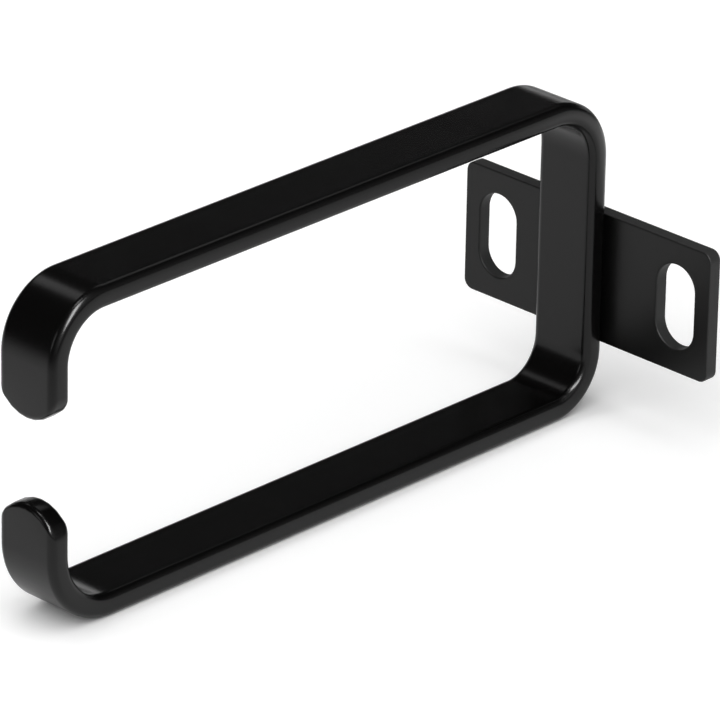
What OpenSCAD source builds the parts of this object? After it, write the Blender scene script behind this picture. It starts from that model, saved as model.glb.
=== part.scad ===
// Rack D-ring cable hook
//
// A flat steel bar bent four times into a long ring that is open at the front, where two lips
// keep the cables in. A slotted plate on the back of the ring bolts to a rack rail.
//
// Millimetres, +Z up. The origin is the middle of the plate's mounting face, which looks along +X;
// the ring reaches away from the rail along -X.

/* [Bar] */
// Width of the flat bar
bar_w = 9.8; // [6:0.1:20]
// Thickness of the flat bar
bar_t = 3.2; // [2.4:0.1:6]
// Rounding of the bar's long edges
bar_edge_r = 0.9; // [0.2:0.1:1.1]

/* [Ring] */
// Outside length of the ring, from the front of the lips to its back
ring_l = 100.5; // [50:0.5:200]
// Outside height of the ring
ring_h = 45.6; // [40:0.1:120]
// Inside radius of the upper bend at the back
upper_back_bend_r = 6.6; // [2:0.1:9]
// Inside radius of the lower bend at the back
lower_back_bend_r = 5.1; // [2:0.1:9]
// Inside radius of the upper bend at the front
upper_front_bend_r = 6; // [2:0.1:8]
// Inside radius of the lower bend at the front
lower_front_bend_r = 7.5; // [2:0.1:8]

/* [Lips] */
// How far the upper lip reaches down from the top of the ring
upper_lip_l = 16.8; // [15:0.1:19]
// How far the lower lip reaches up from the bottom of the ring
lower_lip_l = 17.2; // [15:0.1:19]
// How far the middle of a lip's round tip stands past its corners
tip_rise = 3.2; // [0.5:0.1:3.6]

/* [Plate] */
// Width of the mounting plate, across the bar
plate_w = 43.5; // [42:0.1:80]
// Height of the mounting plate, along the bar
plate_h = 18.5; // [15:0.1:28]
// Thickness of the mounting plate
plate_t = 2; // [1:0.1:4]
// Rounding of the plate's corners
plate_corner_r = 1.4; // [0.5:0.1:5]
// How far the middle of the plate lies below the middle of the ring
plate_drop = 4.6; // [0:0.1:5]
// How far the middle of the plate lies beside the middle of the bar
plate_shift = 1.3; // [0:0.1:4]

/* [Slots] */
// Distance between the middles of the two slots, the outer holes of one rack unit
slot_pitch = 31.75; // [28:0.05:34]
// Width of a slot
slot_w = 6.5; // [4:0.1:8]
// Length of a slot from end to end
slot_l = 12; // [9:0.1:14]

/* [Hidden] */
$fn = 96;

steel_black = [0.13, 0.13, 0.14];

// The bends reach their outside radius on the outer face of the bar
upper_back_r = upper_back_bend_r + bar_t;
lower_back_r = lower_back_bend_r + bar_t;
upper_front_r = upper_front_bend_r + bar_t;
lower_front_r = lower_front_bend_r + bar_t;

// Straight lengths between the bends
upper_arm_l = ring_l - upper_back_r - upper_front_r;
lower_arm_l = ring_l - lower_back_r - lower_front_r;
back_l = ring_h - upper_back_r - lower_back_r;
upper_lip_run = upper_lip_l - upper_front_r;
lower_lip_run = lower_lip_l - lower_front_r;

// The run's middle line lies half a thickness inside the outer face
inset = bar_t / 2;

// Radius of the arc through a tip's two corners and its middle
tip_r = (pow(bar_w / 2, 2) + pow(tip_rise, 2)) / (2 * tip_rise);

// Rectangle with round corners: two crossed bars and a disc in each corner
module rounded_rect(w, h, r) {
    square([w - 2 * r, h], center = true);
    square([w, h - 2 * r], center = true);
    for (x = [-1, 1], y = [-1, 1])
        translate([x * (w / 2 - r), y * (h / 2 - r)])
            circle(r = r);
}

// Section of the bar, its thickness along X and its width along Y
module bar_section() {
    rounded_rect(bar_t, bar_w, bar_edge_r);
}

// Slot with round ends, its length along Y
module slot() {
    straight = slot_l - slot_w;
    square([slot_w, straight], center = true);
    for (end = [-1, 1])
        translate([0, end * straight / 2])
            circle(d = slot_w);
}

// The ring is laid out flat in the XY plane, with the bar's width along Z.

// Straight length of bar that starts at the origin and runs along +X
module run(length) {
    rotate([90, 0, 90])
        linear_extrude(height = length)
            bar_section();
}

// Quarter bend about the origin, from the angle start on, anticlockwise
module bend(inside_r, start) {
    rotate([0, 0, start])
        rotate_extrude(angle = 90)
            translate([inside_r + inset, 0])
                bar_section();
}

// Outline of a lip seen from the front, its arc ending at x = length
module tip_outline(length) {
    behind = 2 * bar_w;
    translate([length - tip_r, 0])
        circle(r = tip_r);
    translate([-behind, -tip_r])
        square([behind + length - tip_r, 2 * tip_r]);
}

// Straight length of bar along +X that ends in a round tip
module lip(length) {
    intersection() {
        run(length);
        rotate([90, 0, 0])
            linear_extrude(height = 2 * bar_t, center = true)
                tip_outline(length);
    }
}

// The whole bent bar, with its back face at x = 0 and its middle height at y = 0
module flat_ring() {
    top = ring_h / 2;
    arm_y = top - inset;
    lip_x = inset - ring_l;

    // Back of the ring
    translate([-inset, lower_back_r - top]) rotate([0, 0, 90]) run(back_l);

    // Upper arm, between its two bends
    translate([-upper_back_r, top - upper_back_r]) bend(upper_back_bend_r, 0);
    translate([upper_front_r - ring_l, arm_y]) run(upper_arm_l);
    translate([upper_front_r - ring_l, top - upper_front_r]) bend(upper_front_bend_r, 90);

    // Lower arm, between its two bends
    translate([-lower_back_r, lower_back_r - top]) bend(lower_back_bend_r, 270);
    translate([lower_front_r - ring_l, -arm_y]) run(lower_arm_l);
    translate([lower_front_r - ring_l, lower_front_r - top]) bend(lower_front_bend_r, 180);

    // Lips, one down and one up
    translate([lip_x, top - upper_front_r]) rotate([0, 0, -90]) lip(upper_lip_run);
    translate([lip_x, lower_front_r - top]) rotate([0, 0, 90]) lip(lower_lip_run);
}

// Flat bar bent into the open ring, standing on its lower arm against the front of the plate
module hook_bar() {
    color(steel_black)
        translate([-plate_t, plate_shift, plate_drop])
            rotate([90, 0, 0])
                flat_ring();
}

// Plate on the back of the ring, with a slot in each ear
module mounting_plate() {
    color(steel_black)
        translate([-plate_t, 0, 0])
            rotate([90, 0, 90])
                linear_extrude(height = plate_t)
                    difference() {
                        rounded_rect(plate_w, plate_h, plate_corner_r);
                        for (side = [-1, 1])
                            translate([side * slot_pitch / 2, 0])
                                slot();
                    }
}

hook_bar();
mounting_plate();
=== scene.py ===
"""Looks of a rack D-ring cable hook: a flat steel bar bent into an open ring, on a slotted plate.

Laid out as a Blender add-on. Metres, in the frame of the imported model: the mounting face of the
plate looks along +X, the ring reaches away from the rail along -X, and +Z is up.
"""

import math

import bpy
import numpy as np
from mathutils import Matrix, Vector


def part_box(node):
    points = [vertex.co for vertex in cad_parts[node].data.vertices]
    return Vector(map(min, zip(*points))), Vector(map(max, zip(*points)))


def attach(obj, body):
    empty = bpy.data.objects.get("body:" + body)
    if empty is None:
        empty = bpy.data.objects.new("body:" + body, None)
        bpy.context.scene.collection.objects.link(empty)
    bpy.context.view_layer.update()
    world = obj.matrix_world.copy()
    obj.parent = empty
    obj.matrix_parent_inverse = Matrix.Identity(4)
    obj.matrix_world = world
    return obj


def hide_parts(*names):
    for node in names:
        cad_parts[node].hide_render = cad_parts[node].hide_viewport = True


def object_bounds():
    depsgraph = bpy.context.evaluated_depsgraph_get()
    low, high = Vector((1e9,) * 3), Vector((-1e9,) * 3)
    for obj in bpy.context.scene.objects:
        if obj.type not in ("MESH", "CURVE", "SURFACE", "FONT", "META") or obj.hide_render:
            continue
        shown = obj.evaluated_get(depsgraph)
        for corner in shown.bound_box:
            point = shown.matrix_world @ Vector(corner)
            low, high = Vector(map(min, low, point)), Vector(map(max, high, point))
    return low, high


bl_info = {
    "name": "Rack D-Ring Cable Hook",
    "version": (1, 0, 0),
    "blender": (4, 5, 0),
    "location": "3D View > Sidebar > Cable Hook",
    "description": "Adds a coated flat-bar cable hook with its slotted mounting plate",
    "category": "Add Mesh",
}

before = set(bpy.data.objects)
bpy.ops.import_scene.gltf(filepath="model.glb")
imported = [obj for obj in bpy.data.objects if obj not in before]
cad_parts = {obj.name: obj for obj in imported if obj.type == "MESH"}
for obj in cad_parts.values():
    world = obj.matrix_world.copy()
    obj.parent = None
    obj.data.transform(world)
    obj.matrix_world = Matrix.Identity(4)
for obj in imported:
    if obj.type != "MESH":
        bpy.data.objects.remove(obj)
CAD_LOW, CAD_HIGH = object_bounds()
BAR_LOW, BAR_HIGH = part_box("hook_bar")
PLATE_LOW, PLATE_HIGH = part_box("mounting_plate")

# Fineness of the surfaces
BEND_STEPS = 48
ROUNDING_STEPS = 8
FACE_STEPS = 8
OUTLINE_STEPS = 220
MIDDLE_STEPS = 40

# The coat: sizes of its patterns in patterns a metre, cloudiness, refraction, and how far from X a
# surface has to look to begin and to be an edge, as shares of its normal along X
CLOUD_SCALE = 140.0
PEEL_SCALE = 700.0
GRAIN_SCALE = 5200.0
CLOUD_ROUGHNESS = 0.06
CLOUD_TINT = 0.1
COAT_IOR = 1.38
EDGE_FACING = (0.9, 0.5)

# Lamps: azimuth and elevation in degrees, distance, width and height in metres
SOFTBOX = (-170.0, 66.0, 1.0, 1.8, 1.8)
KEY = (-112.0, 44.0, 1.0, 0.3, 0.8)
TOP_SPOT = (-174.0, 80.0, 1.0, 0.2, 0.2)
RIM = (22.0, 52.5, 1.0, 0.5, 0.16)
KICKER = (82.0, 47.0, 1.0, 0.2, 0.15)
LIP_LIGHT = (165.0, 20.0, 1.0, 0.25, 0.4)

# The room's bright side: its azimuth, and how nearly a direction points there to start to glow
ROOM_FRONT = -97.0
ROOM_NEARNESS = 0.2

# The floor's half width
FLOOR_HALF = 6.0

# The backdrop: first and last azimuth, distance, height and gap over the floor
BACKDROP_TURN = (-15.0, 95.0)
BACKDROP_STEPS = 45
BACKDROP = (3.0, 0.6, 0.02)

# The glowing card, a painted light seen only in reflections: its reach along X and along Y, and its height
# over the floor
CARD = (0.06, 0.16, -0.075, 0.005)
CARD_LIFT = 0.0004

# What the lamps look at, and the camera's aim from the middle of the ring's back: right and up
RING_MIDDLE = Vector((-0.05, 0.0, 0.0))
CAMERA_AIM = Vector((-0.028836, -0.016285, 0.0))

# How far from a piece the paper's glow is already dimmed, as a painted contact shadow
GLOW_REACH = 0.007

# The floor's fades, painted shade seen in reflections: start, end and least share, by distance and along
# two turned directions
FADE_TURN = math.radians(43.7)
FADE_AWAY = (0.15, 0.42, 0.3)
FADE_NEAR = (-0.1, -0.24, 0.45)
FADE_RIGHT = (-0.03, -0.105, 0.7)

# Over these distances the floor's glow for the camera grows to a full white
FAR_PAPER = (0.15, 0.7)

BLACK = (0.0, 0.0, 0.0, 1.0)
WHITE = (1.0, 1.0, 1.0, 1.0)

# How far from a rounding a flat face gets its first line of vertices, as a share of the rounding
SUPPORT = 0.06


# --- Sizes and colours that a user would change ---------------------------------------------


class BarSizes(bpy.types.PropertyGroup):
    """The bent bar. Its length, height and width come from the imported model."""

    thickness: bpy.props.FloatProperty(
        name="Thickness",
        description="Thickness of the flat bar",
        default=0.0032,
        min=0.002,
        precision=5,
        unit="LENGTH",
    )
    edge_round: bpy.props.FloatProperty(
        name="Edge Rounding",
        description="Rounding of the bar's long edges",
        default=0.0009,
        min=0.0002,
        precision=5,
        unit="LENGTH",
    )
    edge_crown: bpy.props.FloatProperty(
        name="Edge Crown",
        description="How far the narrow sides bulge in the middle",
        default=0.00016,
        min=0.0,
        precision=5,
        unit="LENGTH",
    )
    upper_front_bend: bpy.props.FloatProperty(
        name="Upper Front Bend",
        description="Inside radius of the upper bend at the front",
        default=0.006,
        min=0.002,
        precision=5,
        unit="LENGTH",
    )
    upper_back_bend: bpy.props.FloatProperty(
        name="Upper Back Bend",
        description="Inside radius of the upper bend at the back",
        default=0.0066,
        min=0.002,
        precision=5,
        unit="LENGTH",
    )
    lower_back_bend: bpy.props.FloatProperty(
        name="Lower Back Bend",
        description="Inside radius of the lower bend at the back",
        default=0.0051,
        min=0.002,
        precision=5,
        unit="LENGTH",
    )
    lower_front_bend: bpy.props.FloatProperty(
        name="Lower Front Bend",
        description="Inside radius of the lower bend at the front",
        default=0.0075,
        min=0.002,
        precision=5,
        unit="LENGTH",
    )
    upper_lip: bpy.props.FloatProperty(
        name="Upper Lip",
        description="How far the upper lip reaches down from the top of the ring",
        default=0.0168,
        precision=5,
        unit="LENGTH",
    )
    lower_lip: bpy.props.FloatProperty(
        name="Lower Lip",
        description="How far the lower lip reaches up from the bottom of the ring",
        default=0.0172,
        precision=5,
        unit="LENGTH",
    )
    tip_rise: bpy.props.FloatProperty(
        name="Tip Rise",
        description="How far the middle of a lip's round tip stands past its corners",
        default=0.0032,
        min=0.0005,
        precision=5,
        unit="LENGTH",
    )
    tip_round: bpy.props.FloatProperty(
        name="Tip Rounding",
        description="Rounding of the edges round a tip's end wall",
        default=0.0008,
        min=0.0001,
        precision=5,
        unit="LENGTH",
    )


class PlateSizes(bpy.types.PropertyGroup):
    """The slotted plate. Its width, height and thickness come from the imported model."""

    corner_round: bpy.props.FloatProperty(
        name="Corner Rounding",
        description="Rounding of the plate's four corners",
        default=0.0014,
        min=0.0005,
        precision=5,
        unit="LENGTH",
    )
    edge_round: bpy.props.FloatProperty(
        name="Edge Rounding",
        description="Rounding of the plate's outer edges",
        default=0.0002,
        min=0.0,
        precision=5,
        unit="LENGTH",
    )
    slot_edge_round: bpy.props.FloatProperty(
        name="Slot Edge Rounding",
        description="Rounding of the edges of the slots",
        default=0.00022,
        min=0.0,
        precision=5,
        unit="LENGTH",
    )
    slot_pitch: bpy.props.FloatProperty(
        name="Slot Pitch",
        description="Distance between the middles of the two slots",
        default=0.03175,
        precision=5,
        unit="LENGTH",
    )
    slot_width: bpy.props.FloatProperty(
        name="Slot Width",
        description="Width of a slot",
        default=0.0065,
        precision=5,
        unit="LENGTH",
    )
    slot_length: bpy.props.FloatProperty(
        name="Slot Length",
        description="Length of a slot from end to end",
        default=0.012,
        precision=5,
        unit="LENGTH",
    )


class CoatLook(bpy.types.PropertyGroup):
    """The black coat over both pieces."""

    colour: bpy.props.FloatVectorProperty(
        name="Colour",
        description="Colour of the coat",
        subtype="COLOR",
        size=4,
        min=0.0,
        max=1.0,
        default=(0.0014, 0.0013, 0.0013, 1.0),
    )
    roughness: bpy.props.FloatProperty(
        name="Roughness",
        description="Roughness of the coat on the bar, at its smoothest spots",
        subtype="FACTOR",
        default=0.2,
        min=0.0,
        max=1.0,
    )
    plate_roughness: bpy.props.FloatProperty(
        name="Plate Roughness",
        description="Roughness of the coat on the plate's faces, which are a little duller",
        subtype="FACTOR",
        default=0.3,
        min=0.0,
        max=1.0,
    )
    edge_roughness: bpy.props.FloatProperty(
        name="Plate Edge Roughness",
        description="Roughness of the coat on the plate's sheared edges",
        subtype="FACTOR",
        default=0.5,
        min=0.0,
        max=1.0,
    )
    # A pale colour on the plate's edges: a painted sheen that makes them look brighter than the coat.
    painted_edge_sheen: bpy.props.FloatVectorProperty(
        name="Plate Edge Colour",
        description="Colour of the coat on the plate's sheared edges",
        subtype="COLOR",
        size=4,
        default=(0.025, 0.025, 0.025, 1.0),
        min=0.0,
        max=1.0,
    )
    peel: bpy.props.FloatProperty(
        name="Orange Peel",
        description="Height of the slow ripple in the coat",
        default=0.000003,
        min=0.0,
        precision=6,
        unit="LENGTH",
    )
    grain: bpy.props.FloatProperty(
        name="Grain",
        description="Height of the fine grain in the coat",
        default=0.000001,
        min=0.0,
        precision=6,
        unit="LENGTH",
    )


class StageLook(bpy.types.PropertyGroup):
    """Floor, backdrop, lamps and camera."""

    paper_colour: bpy.props.FloatVectorProperty(
        name="Paper Colour",
        description="Colour of the paper floor and backdrop",
        subtype="COLOR",
        size=4,
        min=0.0,
        max=1.0,
        default=(0.86, 0.86, 0.86, 1.0),
    )
    paper_glow: bpy.props.FloatProperty(
        name="Paper Glow",
        description="How much the floor near the ring glows for the camera",
        default=0.3,
        min=0.0,
    )
    mirrored_glow: bpy.props.FloatProperty(
        name="Mirrored Glow",
        description="How much the floor glows in reflections",
        default=0.105,
        min=0.0,
        max=1.0,
    )
    backdrop_glow: bpy.props.FloatProperty(
        name="Backdrop Glow",
        description="Brightness of the backdrop in reflections",
        default=0.65,
        min=0.0,
    )
    softbox_power: bpy.props.FloatProperty(
        name="Softbox Power",
        description="Power of the large lamp, which lights the paper",
        default=19.5,
        min=0.0,
        unit="POWER",
    )
    key_power: bpy.props.FloatProperty(
        name="Key Power",
        description="Power of the tall lamp in front that draws the highlights along the edges",
        default=16.0,
        min=0.0,
        unit="POWER",
    )
    top_power: bpy.props.FloatProperty(
        name="Top Spot Power",
        description="Power of the small lamp right above",
        default=1.0,
        min=0.0,
        unit="POWER",
    )
    rim_power: bpy.props.FloatProperty(
        name="Rim Power",
        description="Power of the panel behind that draws a line along the top edges",
        default=0.22,
        min=0.0,
        unit="POWER",
    )
    kicker_power: bpy.props.FloatProperty(
        name="Kicker Power",
        description="Power of the small lamp on the far side",
        default=0.16,
        min=0.0,
        unit="POWER",
    )
    lip_power: bpy.props.FloatProperty(
        name="Lip Light Power",
        description="Power of the small lamp that faces the front of the lips",
        default=0.45,
        min=0.0,
        unit="POWER",
    )
    card_glow: bpy.props.FloatProperty(
        name="Card Glow",
        description="Brightness of the small card, which shows only in reflections along the ring's back",
        default=1.3,
        min=0.0,
    )
    room_strength: bpy.props.FloatProperty(
        name="Room Light",
        description="Strength of the dim room round the set",
        default=0.03,
        min=0.0,
    )
    front_glow: bpy.props.FloatProperty(
        name="Front Glow",
        description="How much brighter the room is in front of the set than behind it",
        default=0.6,
        min=0.0,
    )
    azimuth: bpy.props.FloatProperty(
        name="Azimuth",
        description="Where the camera stands, turned from the side that looks along +Y",
        subtype="ANGLE",
        default=math.radians(-46.313),
    )
    elevation: bpy.props.FloatProperty(
        name="Elevation",
        description="How far the camera looks down",
        subtype="ANGLE",
        default=math.radians(24.745),
    )
    roll: bpy.props.FloatProperty(
        name="Roll",
        description="Turn of the camera about its own axis, anticlockwise",
        subtype="ANGLE",
        default=math.radians(1.113),
    )
    distance: bpy.props.FloatProperty(
        name="Distance",
        description="From the camera to the point it looks at",
        default=0.9870,
        unit="LENGTH",
    )
    lens: bpy.props.FloatProperty(
        name="Focal Length",
        description="Focal length of the lens, in millimetres",
        default=374.78,
        min=1.0,
        unit="CAMERA",
    )


# --- Surfaces worked out as arrays ----------------------------------------------------------


def tangent_stops(start, end, count, support):
    """Evenly spaced values from start to end, with one more close to each end."""
    even = np.linspace(start, end, count)
    close = [start + np.sign(end - start) * support, end - np.sign(end - start) * support]
    return np.sort(np.concatenate([even, close]))[:: int(np.sign(end - start))]


def bar_section(sizes, width, inset):
    """Loop round the bar's section as rows of depth below the outer face and place across.

    A rectangle whose four corners are quarter circles, drawn in by inset on all sides. Its
    narrow sides bulge as a parabola: each point moves in by the crown times the square of its
    distance from mid thickness. The first half of the loop runs across the outer face, the
    second half is its mirror image on the inner face, backwards.
    """
    radius = sizes.edge_round - inset
    half_depth = sizes.thickness / 2
    support = SUPPORT * radius
    turn = np.linspace(0.0, math.pi / 2, ROUNDING_STEPS + 1)
    side = np.linspace(half_depth, sizes.edge_round, 4)[1:-1]
    side = np.append(side, sizes.edge_round + support)
    face = tangent_stops(inset + radius - width / 2, 0.0, FACE_STEPS // 2, support)[1:-2]

    depth = np.concatenate([side, inset + radius * (1 - np.sin(turn)), np.full(len(face), inset)])
    across = np.concatenate(
        [
            np.full(len(side), inset - width / 2),
            inset - width / 2 + radius * (1 - np.cos(turn)),
            face,
        ]
    )
    across += sizes.edge_crown * ((depth - half_depth) / half_depth) ** 2
    outer = np.column_stack([depth, across])
    outer = np.concatenate([outer, [[inset, 0.0]], outer[::-1] * (1, -1)])
    inner = np.column_stack([sizes.thickness - outer[::-1, 0], outer[::-1, 1]])
    return np.concatenate([outer, inner])


def ring_bends(sizes):
    """The four bends as rows of station, section point and x, y, z.

    At a station, the outward normal stands at an angle that runs from front over top to back,
    and round the bottom to the front again. A point lies at the bend's middle plus the outside
    radius, less its depth, along that normal.
    """
    inside = [sizes.upper_front_bend, sizes.upper_back_bend, sizes.lower_back_bend, sizes.lower_front_bend]
    radius = np.array(inside) + sizes.thickness
    middle_x = np.array([BAR_LOW.x, BAR_HIGH.x, BAR_HIGH.x, BAR_LOW.x]) + radius * (1, -1, -1, 1)
    middle_z = np.array([BAR_HIGH.z, BAR_HIGH.z, BAR_LOW.z, BAR_LOW.z]) + radius * (-1, -1, 1, 1)
    quarter = np.linspace(0.0, math.pi / 2, BEND_STEPS + 1)
    angle = math.pi - (quarter + np.arange(4)[:, None] * math.pi / 2).ravel()
    middle_x, middle_z, radius = np.repeat([middle_x, middle_z, radius], len(quarter), axis=1)[..., None]
    section = bar_section(sizes, BAR_HIGH.y - BAR_LOW.y, 0.0)
    reach = radius - section[:, 0]
    return np.stack(
        [
            middle_x + reach * np.cos(angle)[:, None],
            np.broadcast_to((BAR_LOW.y + BAR_HIGH.y) / 2 + section[:, 1], reach.shape),
            middle_z + reach * np.sin(angle)[:, None],
        ],
        axis=-1,
    )


def lip_tip(sizes, lip_end, side):
    """Rows of vertices round one lip's tip, from its straight sides to its end wall.

    Seen from the front the tip is an arc through its two corners and its middle. Its edges are
    rounded: at a turn from 0 to 90 degrees the section is drawn in by the rounding times one
    less the cosine, and the arc stands back by the rounding times one less the sine.
    """
    width = BAR_HIGH.y - BAR_LOW.y
    arc = ((width / 2) ** 2 + sizes.tip_rise**2) / (2 * sizes.tip_rise)
    turn = np.linspace(0.0, math.pi / 2, ROUNDING_STEPS + 1)
    rows = []
    for angle in turn:
        section = bar_section(sizes, width, sizes.tip_round * (1 - math.cos(angle)))
        back = sizes.tip_round * (1 - math.sin(angle))
        along = np.sqrt(arc**2 - section[:, 1] ** 2) - arc - back
        rows.append(
            np.column_stack(
                [
                    BAR_LOW.x + section[:, 0],
                    (BAR_LOW.y + BAR_HIGH.y) / 2 + section[:, 1],
                    lip_end + side * along,
                ]
            )
        )
    return np.stack(rows)


def tube_faces(rows, columns):
    """Quads between neighbouring rows of a grid that closes on itself round each row."""
    start = (np.arange(rows - 1) * columns)[:, None]
    here = np.arange(columns)
    following = np.roll(here, -1)
    quads = [start + here, start + columns + here, start + columns + following, start + following]
    return np.stack([q.ravel() for q in quads], axis=1)


def cap_faces(first, columns, flip):
    """Quads across a loop whose second half mirrors its first half backwards."""
    near = first + np.arange(columns // 2 - 1)
    far = first + columns - 1 - np.arange(columns // 2 - 1)
    quads = np.stack([near, near + 1, far - 1, far], axis=1)
    return quads[:, ::-1] if flip else quads


def half_outline(width, height, radius):
    """Half of an upright rectangle with round corners, closed along the rectangle's middle line.

    The loop runs from the bottom's middle round the right-hand side to the top's middle, and
    back down the middle line, in even steps of length. Each point is a corner of the upright
    centre rectangle plus the radius along its outward direction, which turns only in the
    corners and is nought on the middle line.
    """
    flat = width / 2 - radius
    upright = height / 2 - radius
    bend = radius * math.pi / 2
    ends = np.cumsum([0.0, flat, bend, 2 * upright, bend, flat])
    way = np.linspace(0.0, ends[-1], OUTLINE_STEPS)
    angle = np.interp(way, ends, np.radians([-90, -90, 0, 0, 90, 90]))
    outward = np.column_stack([np.cos(angle), np.sin(angle)])
    core = np.column_stack(
        [
            np.interp(way, ends, [0.0, flat, flat, flat, flat, 0.0]),
            np.interp(way, ends, [-upright, -upright, -upright, upright, upright, upright]),
        ]
    )
    middle = np.linspace(upright, -upright, MIDDLE_STEPS)
    points = np.concatenate([core + radius * outward, np.column_stack([np.zeros(MIDDLE_STEPS), middle])])
    return points, np.concatenate([outward, np.zeros((MIDDLE_STEPS, 2))])


def slot_outline(sizes, points):
    """For each given point, the nearest point of the slot's outline and the way out from it.

    A slot is every point within half its width of a short upright line. The nearest point lies
    half the width from the nearest point of that line, towards the given point.
    """
    straight = (sizes.slot_length - sizes.slot_width) / 2
    line = np.column_stack(
        [np.full(len(points), sizes.slot_pitch / 2), np.clip(points[:, 1], -straight, straight)]
    )
    outward = points - line
    outward /= np.linalg.norm(outward, axis=1, keepdims=True)
    return line + sizes.slot_width / 2 * outward, outward


def plate_edges(front, back, radius):
    """Half a loop round the plate's metal, over the front from nought to one and round the edge.

    Rows of share, bulge and depth: the share of the way across the front, how much of the
    rounding the point stands out past the flat faces, and the depth. Each of the two edges is a
    quarter circle.
    """
    turn = np.linspace(0.0, math.pi / 2, ROUNDING_STEPS + 1)
    share = np.array([0.0, SUPPORT / 4, 1 / 3, 2 / 3, 1 - SUPPORT / 4])
    level = radius * (1 + SUPPORT)
    wall = np.array([front + level, (front + back) / 2, back - level])
    depth = [front + radius * (1 - np.cos(turn)), wall, back - radius * (1 - np.sin(turn[:-1]))]
    return np.column_stack(
        [
            np.concatenate([share, np.ones(len(turn) + len(wall) + len(turn) - 1)]),
            np.concatenate([np.zeros(len(share)), np.sin(turn), np.ones(len(wall)), np.cos(turn[:-1])]),
            np.concatenate([np.full(len(share), front), *depth]),
        ]
    )


def plate_section(front, back, outline_radius, slot_radius):
    """Loop round the plate's metal, from a slot over the front to the outline and back.

    The second half runs the other way, over the back: its share counts down, its bulge stands
    out into the slot and is below nought, and its depth is measured from the back.
    """
    there = plate_edges(front, back, outline_radius)
    back_again = plate_edges(front, back, slot_radius)
    back_again = np.column_stack([1 - back_again[:, 0], -back_again[:, 1], front + back - back_again[:, 2]])
    return np.concatenate([there, back_again])


def half_plate(sizes, front, back, width, height):
    """Corners of the quads over the +across half of the plate, as an array of x, y, z.

    A point lies between its places at the slot and at the outline, by the share of the way.
    The wall that the outline would get along the plate's middle line is left out.
    """
    outline, out_of_outline = half_outline(width, height, sizes.corner_round)
    slot, out_of_slot = slot_outline(sizes, outline)
    share, bulge, depth = plate_section(front, back, sizes.edge_round, sizes.slot_edge_round).T
    bulge = bulge[:, None, None]
    share = share[:, None, None]
    inner = slot + sizes.slot_edge_round * out_of_slot * (1 + np.minimum(bulge, 0.0))
    outer = outline - sizes.edge_round * out_of_outline * (1 - np.maximum(bulge, 0.0))
    flat = inner + share * (outer - inner)
    points = np.concatenate([np.broadcast_to(depth[:, None, None], flat.shape[:2] + (1,)), flat], axis=2)

    rows, columns = points.shape[:2]
    row, column = np.meshgrid(np.arange(rows), np.arange(columns), indexing="ij")
    next_row, next_column = (row + 1) % rows, (column + 1) % columns
    quads = np.stack(
        [
            points[row, column],
            points[row, next_column],
            points[next_row, next_column],
            points[next_row, column],
        ],
        axis=2,
    )
    on_middle = np.linalg.norm(out_of_outline, axis=1) == 0
    wall = (share[:, 0, 0] == 1.0)
    cut = (wall & np.roll(wall, -1))[:, None] & (on_middle | np.roll(on_middle, -1))[None, :]
    return quads[~cut]


def piece_from(name, vertices, faces):
    """Smooth mesh object from arrays of vertices and quads, linked to the scene."""
    mesh = bpy.data.meshes.new(name)
    mesh.from_pydata(vertices.tolist(), [], faces.tolist())
    mesh.shade_smooth()
    mesh.validate()
    piece = bpy.data.objects.new(name, mesh)
    bpy.context.scene.collection.objects.link(piece)
    return piece


# --- Materials ------------------------------------------------------------------------------


def new_material(name):
    """Node material with its Principled shader and its output, and its node tree."""
    material = bpy.data.materials.new(name)
    material.use_nodes = True
    return material, material.node_tree


def add_node(tree, kind, inputs, **settings):
    """New node with its settings, each input set to a value or linked to another output."""
    node = tree.nodes.new(kind)
    for setting, value in settings.items():
        setattr(node, setting, value)
    for key, value in inputs.items():
        if isinstance(value, bpy.types.NodeSocket):
            tree.links.new(value, node.inputs[key])
        else:
            node.inputs[key].default_value = value
    return node


def maths(tree, operation, *values):
    """Output of a Math node over numbers or other outputs."""
    return add_node(tree, "ShaderNodeMath", dict(enumerate(values)), operation=operation).outputs[0]


def ranged(tree, value, before, after):
    """Output that runs over the second range as the value runs over the first, and stops there."""
    ends = {"From Min": before[0], "From Max": before[1], "To Min": after[0], "To Max": after[1]}
    return add_node(tree, "ShaderNodeMapRange", {"Value": value, **ends}).outputs["Result"]


def mixed(tree, factor, first, second):
    """Colour output that runs from the first colour to the second."""
    inputs = {"Factor": factor, "A": first, "B": second}
    return add_node(tree, "ShaderNodeMix", inputs, data_type="RGBA").outputs["Result"]


def noise(tree, place, scale, detail):
    """Output of a noise over the given place."""
    inputs = {"Vector": place, "Scale": scale, "Detail": detail}
    return add_node(tree, "ShaderNodeTexNoise", inputs).outputs["Fac"]


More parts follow.
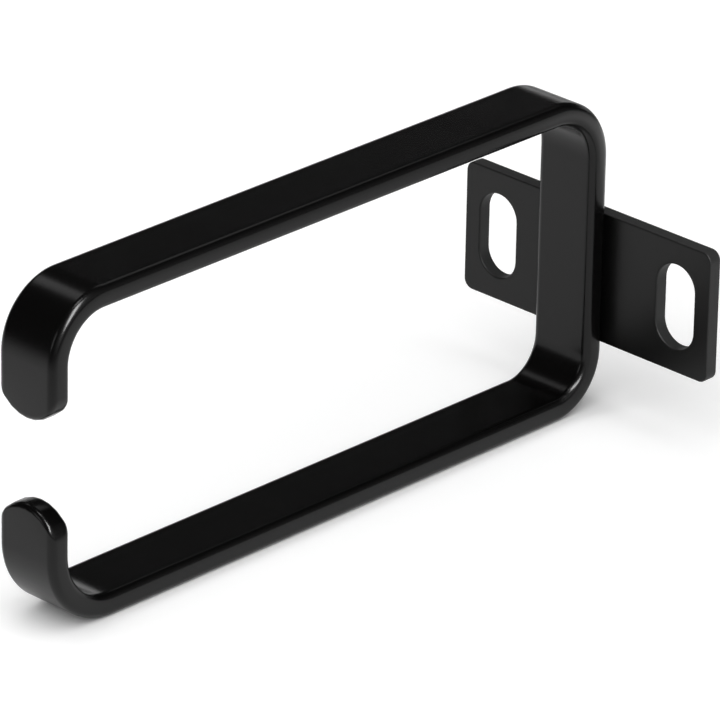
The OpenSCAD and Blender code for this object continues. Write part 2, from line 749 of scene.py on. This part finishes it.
def coat_material(look, name, roughness, edge_roughness, painted_edge_sheen):
    """Smooth black powder coat: a slow ripple, a fine grain and cloudy roughness.

    Surfaces that do not look along X are edges, with a roughness of their own and a colour that, on the
    plate, is a painted sheen.
    """
    material, tree = new_material(name)
    shader = tree.nodes["Principled BSDF"]
    shader.inputs["Specular IOR Level"].default_value = 0.5
    shader.inputs["IOR"].default_value = COAT_IOR
    place = tree.nodes.new("ShaderNodeTexCoord").outputs["Object"]
    cloud = noise(tree, place, CLOUD_SCALE, 3.0)

    normal = tree.nodes.new("ShaderNodeNewGeometry").outputs["Normal"]
    facing = add_node(tree, "ShaderNodeSeparateXYZ", {"Vector": normal}).outputs["X"]
    edge = ranged(tree, maths(tree, "ABSOLUTE", facing), EDGE_FACING, (0.0, 1.0))
    rough = ranged(tree, edge, (0.0, 1.0), (roughness, edge_roughness))
    tree.links.new(maths(tree, "MULTIPLY_ADD", cloud, CLOUD_ROUGHNESS, rough), shader.inputs["Roughness"])

    darker = [value * (1 - CLOUD_TINT) for value in look.colour[:3]] + [1.0]
    paler = [value * (1 + CLOUD_TINT) for value in look.colour[:3]] + [1.0]
    tint = mixed(tree, cloud, darker, paler)
    # Edges get their own colour, which on the plate is a painted sheen.
    tree.links.new(mixed(tree, edge, tint, painted_edge_sheen), shader.inputs["Base Color"])

    peel = {"Height": noise(tree, place, PEEL_SCALE, 1.0), "Distance": look.peel}
    ripple = add_node(tree, "ShaderNodeBump", peel).outputs["Normal"]
    grain = {"Height": noise(tree, place, GRAIN_SCALE, 2.0), "Distance": look.grain, "Normal": ripple}
    tree.links.new(add_node(tree, "ShaderNodeBump", grain).outputs["Normal"], shader.inputs["Normal"])
    return material


def finish_paper(tree, colour, glow_colour, seen_glow, mirrored_glow):
    """Matt paper that also glows: for the camera and through glass, and in reflections.

    The glow fades in corners as a painted contact shadow. Colours and glows are values or outputs.
    """
    path = tree.nodes.new("ShaderNodeLightPath").outputs
    seen = maths(tree, "MAXIMUM", path["Is Camera Ray"], path["Is Transmission Ray"])
    seen = maths(tree, "MULTIPLY", seen, seen_glow)
    level = maths(tree, "MULTIPLY_ADD", path["Is Glossy Ray"], mirrored_glow, seen)
    # Painted contact shadow: ambient occlusion dims the glow near any piece.
    corner = add_node(tree, "ShaderNodeAmbientOcclusion", {"Distance": GLOW_REACH}, samples=8)
    level = maths(tree, "MULTIPLY", level, corner.outputs["AO"])
    glow = add_node(tree, "ShaderNodeEmission", {"Color": glow_colour, "Strength": level})
    paper = add_node(tree, "ShaderNodeBsdfDiffuse", {"Color": colour})
    both = add_node(tree, "ShaderNodeAddShader", {0: paper.outputs[0], 1: glow.outputs[0]})
    tree.nodes.remove(tree.nodes["Principled BSDF"])
    tree.links.new(both.outputs[0], tree.nodes["Material Output"].inputs["Surface"])


def paper_material(name, look, seen_glow, mirrored_glow):
    """Evenly glowing paper."""
    material, tree = new_material(name)
    finish_paper(tree, look.paper_colour, WHITE, seen_glow, mirrored_glow)
    return material


def floor_material(look):
    """Paper that is pale to the camera, and in reflections only round the set.

    Three fades of painted shade multiply, darkening the paper and its glow for all but the camera: by
    distance from the set, towards the camera, and towards its right.
    Each is one inside its first limit and falls to its share at the second. The camera sees the
    far paper glow more, as the lamps fall off there.
    """
    material, tree = new_material("floor_paper")
    place = tree.nodes.new("ShaderNodeTexCoord").outputs["Object"]
    turn = {"Vector": place, "Angle": -FADE_TURN}
    turned = add_node(tree, "ShaderNodeVectorRotate", turn, rotation_type="Z_AXIS").outputs[0]
    split = add_node(tree, "ShaderNodeSeparateXYZ", {"Vector": turned}).outputs
    away = add_node(tree, "ShaderNodeVectorMath", {0: place}, operation="LENGTH").outputs["Value"]
    # Painted shade: these fades darken the paper's colour and glow wherever a reflection sees it.
    share = ranged(tree, away, FADE_AWAY[:2], (1.0, FADE_AWAY[2]))
    for direction, fade in ((split["X"], FADE_NEAR), (split["Y"], FADE_RIGHT)):
        share = maths(tree, "MULTIPLY", share, ranged(tree, direction, fade[:2], (1.0, fade[2])))
    camera = tree.nodes.new("ShaderNodeLightPath").outputs["Is Camera Ray"]
    share = maths(tree, "MAXIMUM", share, camera)
    seen_glow = ranged(tree, away, FAR_PAPER, (look.paper_glow, 1.0))
    paper, glow = (mixed(tree, share, BLACK, colour) for colour in (look.paper_colour, WHITE))
    finish_paper(tree, paper, glow, seen_glow, look.mirrored_glow)
    return material


# --- Operators ------------------------------------------------------------------------------


class HOOK_OT_add_bar(bpy.types.Operator):
    """Add the bent flat bar with its two lips"""

    bl_idname = "hook.add_bar"
    bl_label = "Add Hook Bar"

    def execute(self, context):
        sizes = context.scene.hook_bar_sizes
        bends = ring_bends(sizes)
        upper = lip_tip(sizes, BAR_HIGH.z - sizes.upper_lip, -1)
        lower = lip_tip(sizes, BAR_LOW.z + sizes.lower_lip, 1)
        grid = np.concatenate([upper[::-1], bends, lower])
        rows, columns = grid.shape[:2]
        faces = np.concatenate(
            [
                tube_faces(rows, columns),
                cap_faces(0, columns, False),
                cap_faces((rows - 1) * columns, columns, True),
            ]
        )
        bar = piece_from("bent_bar", grid.reshape(-1, 3), faces)
        look = context.scene.hook_coat_look
        coat = coat_material(look, "bar_coat", look.roughness, look.roughness, look.colour)
        bar.data.materials.append(coat)
        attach(bar, "root")
        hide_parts("hook_bar")
        return {"FINISHED"}


class HOOK_OT_add_plate(bpy.types.Operator):
    """Add the plate with its two slots, which bolts to the rack rail"""

    bl_idname = "hook.add_plate"
    bl_label = "Add Mounting Plate"

    def execute(self, context):
        sizes = context.scene.hook_plate_sizes
        width = PLATE_HIGH.y - PLATE_LOW.y
        height = PLATE_HIGH.z - PLATE_LOW.z
        middle = (PLATE_LOW + PLATE_HIGH) / 2
        right = half_plate(sizes, PLATE_LOW.x, PLATE_HIGH.x, width, height)
        left = right[:, ::-1] * (1, -1, 1)
        corners = np.concatenate([right, left]).reshape(-1, 3) + (0, middle.y, middle.z)
        vertices, faces = np.unique(corners.round(9), axis=0, return_inverse=True)
        plate = piece_from("slotted_plate", vertices, faces.reshape(-1, 4))
        look = context.scene.hook_coat_look
        rough = look.plate_roughness
        # The plate's edges take the pale colour of a painted sheen.
        coat = coat_material(look, "plate_coat", rough, look.edge_roughness, look.painted_edge_sheen)
        plate.data.materials.append(coat)
        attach(plate, "root")
        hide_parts("mounting_plate")
        return {"FINISHED"}


class HOOK_OT_add_stage(bpy.types.Operator):
    """Add the floor, the backdrop, the card, the lamps, the room and the camera"""

    bl_idname = "hook.add_stage"
    bl_label = "Add Stage"

    def execute(self, context):
        look = context.scene.hook_stage_look
        add_floor(look)
        add_backdrop(look)
        add_card(look)
        add_lights(look)
        add_room(look)
        add_camera(look)
        return {"FINISHED"}


def flat_paper(name, low_x, high_x, low_y, high_y, level):
    """Level rectangle that faces up."""
    corners = np.array([(low_x, low_y), (high_x, low_y), (high_x, high_y), (low_x, high_y)])
    corners = np.column_stack([corners, np.full(4, level)])
    return piece_from(name, corners, np.array([(0, 1, 2, 3)]))


def add_floor(look):
    """Wide floor under the ring."""
    floor = flat_paper("floor", -FLOOR_HALF, FLOOR_HALF, -FLOOR_HALF, FLOOR_HALF, CAD_LOW.z)
    floor.data.materials.append(floor_material(look))


def add_backdrop(look):
    """Low curved backdrop far behind the ring: part of an upright cylinder round the origin.

    It hangs clear of the floor, so that neither darkens the other.
    """
    angle = np.radians(np.linspace(*BACKDROP_TURN, BACKDROP_STEPS))
    radius, height, gap = BACKDROP
    level = np.full(len(angle), CAD_LOW.z + gap)
    foot = np.column_stack([radius * np.cos(angle), radius * np.sin(angle), level])
    corners = np.concatenate([foot, foot + (0.0, 0.0, height)])
    here = np.arange(len(angle) - 1)
    above = here + len(angle)
    backdrop = piece_from("backdrop", corners, np.column_stack([above, above + 1, here + 1, here]))
    backdrop.data.materials.append(paper_material("backdrop_paper", look, 1.0, look.backdrop_glow))


def add_card(look):
    """Small glowing card on the floor behind the ring, a painted light that only shows in reflections."""
    card = flat_paper("card", *CARD, CAD_LOW.z + CARD_LIFT)
    card.visible_camera = card.visible_diffuse = card.visible_shadow = False
    card.data.materials.append(paper_material("card_paper", look, look.card_glow, look.card_glow))


def add_lamp(name, place, power):
    """Rectangular lamp that looks at the ring.

    Its place is azimuth, from +X towards +Y, elevation, distance, width and height.
    """
    azimuth, elevation, distance, width, height = place
    data = bpy.data.lights.new(name, "AREA")
    data.shape = "RECTANGLE"
    data.size, data.size_y = width, height
    data.energy = power
    lamp = bpy.data.objects.new(name, data)
    azimuth, elevation = math.radians(azimuth), math.radians(elevation)
    level = Vector((math.cos(azimuth), math.sin(azimuth), 0.0)) * math.cos(elevation)
    away = level + Vector((0.0, 0.0, math.sin(elevation)))
    turned = away.to_track_quat("Z", "Y").to_matrix().to_4x4()
    lamp.matrix_world = Matrix.Translation(RING_MIDDLE + away * distance) @ turned
    bpy.context.scene.collection.objects.link(lamp)
    return lamp


def add_lights(look):
    """One softbox lights the paper; the other lamps only draw the highlights of the coat."""
    add_lamp("softbox", SOFTBOX, look.softbox_power).visible_glossy = False
    for name, place, power in (
        ("key", KEY, look.key_power),
        ("top_spot", TOP_SPOT, look.top_power),
        ("rim", RIM, look.rim_power),
        ("kicker", KICKER, look.kicker_power),
        ("lip_light", LIP_LIGHT, look.lip_power),
    ):
        add_lamp(name, place, power).visible_diffuse = False


def add_room(look):
    """Dim room whose front is brighter: the glow grows with the square of the nearness to it.

    The camera sees it white.
    """
    world = bpy.data.worlds.new("studio_room")
    world.use_nodes = True
    tree = world.node_tree
    angle = math.radians(ROOM_FRONT)
    front = {0: tree.nodes.new("ShaderNodeTexCoord").outputs["Generated"]}
    front[1] = (math.cos(angle), math.sin(angle), 0.0)
    towards = add_node(tree, "ShaderNodeVectorMath", front, operation="DOT_PRODUCT").outputs["Value"]
    nearness = maths(tree, "POWER", ranged(tree, towards, (ROOM_NEARNESS, 1.0), (0.0, 1.0)), 2.0)
    strength = maths(tree, "MULTIPLY_ADD", nearness, look.front_glow, look.room_strength)
    camera = tree.nodes.new("ShaderNodeLightPath").outputs["Is Camera Ray"]
    background = tree.nodes["Background"].inputs
    background["Color"].default_value = WHITE
    tree.links.new(maths(tree, "MAXIMUM", strength, camera), background["Strength"])
    bpy.context.scene.world = world
    bpy.context.scene.view_settings.view_transform = "Standard"


def add_camera(look):
    """Camera that looks down at the ring with a long lens."""
    turn = look.azimuth
    tilt = look.elevation
    away = Vector((math.sin(turn) * math.cos(tilt), -math.cos(turn) * math.cos(tilt), math.sin(tilt)))
    right = Vector((math.cos(turn), math.sin(turn), 0.0))
    facing = Matrix((right, away.cross(right), away)).transposed().to_4x4()
    facing = facing @ Matrix.Rotation(look.roll, 4, "Z")
    ring = Vector((BAR_HIGH.x, (BAR_LOW.y + BAR_HIGH.y) / 2, (BAR_LOW.z + BAR_HIGH.z) / 2))
    aim = ring + facing.to_3x3() @ CAMERA_AIM
    data = bpy.data.cameras.new("camera")
    data.lens = look.lens
    data.sensor_width = 36.0
    data.clip_end = 50.0
    camera = bpy.data.objects.new("camera", data)
    camera.matrix_world = Matrix.Translation(aim + away * look.distance) @ facing
    bpy.context.scene.collection.objects.link(camera)
    bpy.context.scene.camera = camera


class HOOK_PT_hook(bpy.types.Panel):
    """Sizes, looks and buttons for the cable hook"""

    bl_idname = "HOOK_PT_hook"
    bl_label = "Cable Hook"
    bl_space_type = "VIEW_3D"
    bl_region_type = "UI"
    bl_category = "Cable Hook"

    def draw(self, context):
        layout = self.layout
        for group_name, group in GROUPS.items():
            settings = getattr(context.scene, group_name)
            box = layout.box()
            for setting in group.__annotations__:
                box.prop(settings, setting)
        for operator in (HOOK_OT_add_bar, HOOK_OT_add_plate, HOOK_OT_add_stage):
            layout.operator(operator.bl_idname)


# --- Registration ---------------------------------------------------------------------------

CLASSES = (
    BarSizes,
    PlateSizes,
    CoatLook,
    StageLook,
    HOOK_OT_add_bar,
    HOOK_OT_add_plate,
    HOOK_OT_add_stage,
    HOOK_PT_hook,
)
GROUPS = {
    "hook_bar_sizes": BarSizes,
    "hook_plate_sizes": PlateSizes,
    "hook_coat_look": CoatLook,
    "hook_stage_look": StageLook,
}


def register():
    for cls in CLASSES:
        bpy.utils.register_class(cls)
    for name, group in GROUPS.items():
        setattr(bpy.types.Scene, name, bpy.props.PointerProperty(type=group))


def unregister():
    for name in GROUPS:
        delattr(bpy.types.Scene, name)
    for cls in reversed(CLASSES):
        bpy.utils.unregister_class(cls)


def main():
    register()
    bpy.ops.hook.add_stage()
    bpy.ops.hook.add_bar()
    bpy.ops.hook.add_plate()


if __name__ == "__main__":
    main()
